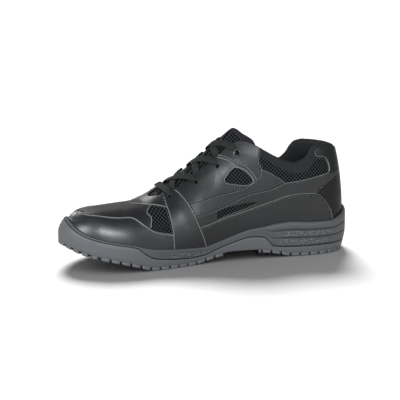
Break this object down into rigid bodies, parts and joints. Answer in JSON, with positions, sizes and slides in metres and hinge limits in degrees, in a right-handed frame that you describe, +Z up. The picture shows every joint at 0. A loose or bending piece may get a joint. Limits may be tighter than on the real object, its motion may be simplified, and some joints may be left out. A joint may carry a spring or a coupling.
{
  "type": "slip resistant work shoe",
  "caption": "Low laced work shoe for the right foot with a slip resistant rubber tread, foam midsole, padded collar and stitched overlays.",
  "frame": {"origin": "Centre of the sole's outline on the floor, under the middle of the shoe.", "axes": "+X points to the heel and -X to the toe, +Y to the outer (lateral) side, -Y to the inner (medial) side, +Z up from the floor."},
  "size_m": [0.2998, 0.103, 0.128],
  "materials": {
    "outsole_rubber": "matt moulded rubber, dark grey",
    "midsole_foam": "matt moulded foam with pebbled bands, dark grey",
    "guard_leather": "smooth black leather with a soft gloss",
    "overlay_leather": "fine grained black leather, soft gloss, stitched",
    "shell_fabric": "black mesh outside, padded black lining inside",
    "tongue_fabric": "padded black mesh with a smooth lining",
    "lace_cord": "flat woven cord, dark grey",
    "insole_cloth": "black brushed cloth"
  },
  "bodies": {
    "root": {"outsole": "outsole_rubber", "midsole": "midsole_foam", "upper": "shell_fabric", "insole": "insole_cloth", "tongue": "tongue_fabric", "lace": "lace_cord", "toe_guard": "guard_leather", "throat_piece": "overlay_leather", "heel_counter": "guard_leather", "heel_tab": "overlay_leather", "strap_medial": "overlay_leather", "strap_lateral": "overlay_leather", "eyestay_medial": "overlay_leather", "eyestay_lateral": "overlay_leather", "band_medial": "overlay_leather", "band_lateral": "overlay_leather", "quarter_medial": "overlay_leather", "quarter_lateral": "overlay_leather", "lower_quarter_medial": "overlay_leather", "lower_quarter_lateral": "overlay_leather"}
  },
  "joints": []
}
